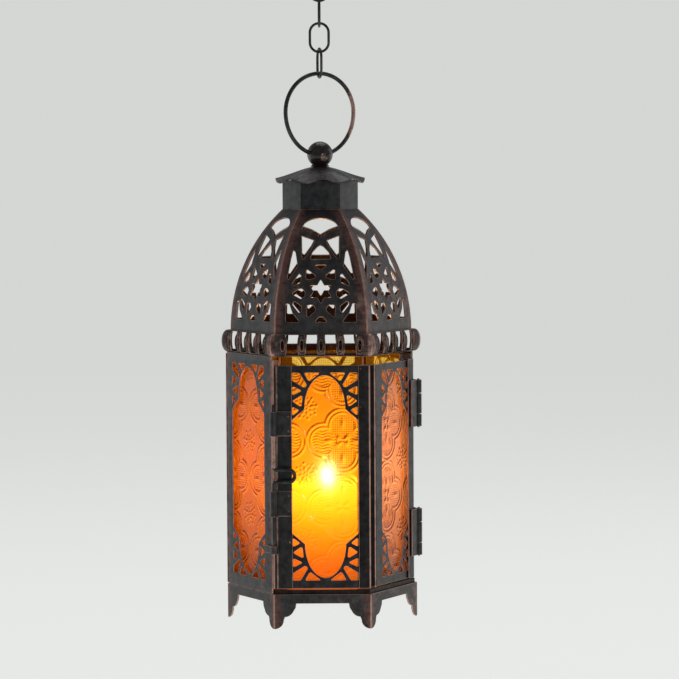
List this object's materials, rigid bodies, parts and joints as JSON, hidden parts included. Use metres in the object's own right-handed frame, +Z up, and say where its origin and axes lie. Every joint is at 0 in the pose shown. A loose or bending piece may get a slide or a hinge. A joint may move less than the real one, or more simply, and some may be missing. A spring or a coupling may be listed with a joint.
{
  "type": "hanging candle lantern",
  "caption": "Hexagonal sheet-metal candle lantern with amber glass, fretwork windows, a pierced dome, a hinged door with a wire bolt, and a ring with chain and hook.",
  "frame": {"origin": "on the lantern's vertical axis, at the bottom of its feet", "axes": "+Z up, -Y out of the front leaf of the door, +X towards the hinged corner"},
  "size_m": [0.0921, 0.0816, 0.3184],
  "materials": {
    "frame_metal": "antique bronze, near black with copper rubbed through at the edges",
    "door_metal": "antique bronze, near black with copper rubbed through at the edges",
    "hardware_metal": "antique bronze, a little glossier on the hinges and the bolt",
    "wire_metal": "satin dark bronze wire",
    "amber_glass": "pressed amber glass with relief medallions and hatching",
    "candle_wax": "pale translucent candle wax",
    "candle_wick": "charred cotton"
  },
  "bodies": {
    "frame": {"base_skirt": "frame_metal", "floor_tray": "frame_metal", "panel_back_right": "frame_metal", "panel_back": "frame_metal", "panel_back_left": "frame_metal", "panel_left_front": "frame_metal", "glass_back_right": "amber_glass", "glass_back": "amber_glass", "glass_back_left": "amber_glass", "glass_left_front": "amber_glass", "top_ring": "frame_metal", "slat_band": "frame_metal", "dome_panel_front": "frame_metal", "dome_panel_right_front": "frame_metal", "dome_panel_back_right": "frame_metal", "dome_panel_back": "frame_metal", "dome_panel_back_left": "frame_metal", "dome_panel_left_front": "frame_metal", "neck_collar": "frame_metal", "top_cap": "frame_metal", "finial_ball": "frame_metal", "finial_stud": "hardware_metal", "finial_nut": "hardware_metal", "hinge_upper_frame_leaf": "hardware_metal", "hinge_lower_frame_leaf": "hardware_metal", "hinge_upper_pin": "hardware_metal", "hinge_lower_pin": "hardware_metal", "latch_keeper": "hardware_metal", "candle": "candle_wax", "candle_wick": "candle_wick"},
    "door": {"door_latch_stile": "door_metal", "door_front_fretwork": "door_metal", "door_corner_post": "door_metal", "door_side_fretwork": "door_metal", "door_hinge_stile": "door_metal", "glass_front": "amber_glass", "glass_right_front": "amber_glass", "hinge_upper_door_leaf": "hardware_metal", "hinge_lower_door_leaf": "hardware_metal", "latch_bracket_upper": "hardware_metal", "latch_bracket_lower": "hardware_metal"},
    "latch": {"latch_bolt": "hardware_metal"},
    "ring": {"hanging_ring": "wire_metal"},
    "link_1": {"chain_link_1": "wire_metal"},
    "link_2": {"chain_link_2": "wire_metal"},
    "link_3": {"chain_link_3": "wire_metal"},
    "link_4": {"chain_link_4": "wire_metal"},
    "hook": {"chain_hook": "wire_metal"}
  },
  "joints": [
    {"name": "door_hinge", "type": "hinge", "parent": "frame", "child": "door", "pos_m": [0.0448, 0, 0.07], "axis": [0, 0, 1], "range_deg": [0, 115]},
    {"name": "latch_slide", "type": "slide", "parent": "door", "child": "latch", "axis": [0, 0, 1], "range_m": [-0.003, 0.0135]},
    {"name": "ring_swing", "type": "hinge", "parent": "frame", "child": "ring", "pos_m": [0, 0, 0.21458], "axis": [0.8746, 0.4848, 0], "range_deg": [-90, 90]},
    {"name": "link_1_swing", "type": "hinge", "parent": "ring", "child": "link_1", "pos_m": [0, 0, 0.2508], "axis": [0.8746, 0.4848, 0], "range_deg": [-35, 35]},
    {"name": "link_2_swing", "type": "hinge", "parent": "link_1", "child": "link_2", "pos_m": [0, 0, 0.2621], "axis": [-0.2079, 0.9781, 0], "range_deg": [-35, 35]},
    {"name": "link_3_swing", "type": "hinge", "parent": "link_2", "child": "link_3", "pos_m": [0, 0, 0.27375], "axis": [1, 0, 0], "range_deg": [-35, 35]},
    {"name": "link_4_swing", "type": "hinge", "parent": "link_3", "child": "link_4", "pos_m": [0, 0, 0.2854], "axis": [0, 1, 0], "range_deg": [-35, 35]},
    {"name": "hook_swing", "type": "hinge", "parent": "link_4", "child": "hook", "pos_m": [0, 0, 0.29705], "axis": [1, 0, 0], "range_deg": [-45, 45]}
  ]
}
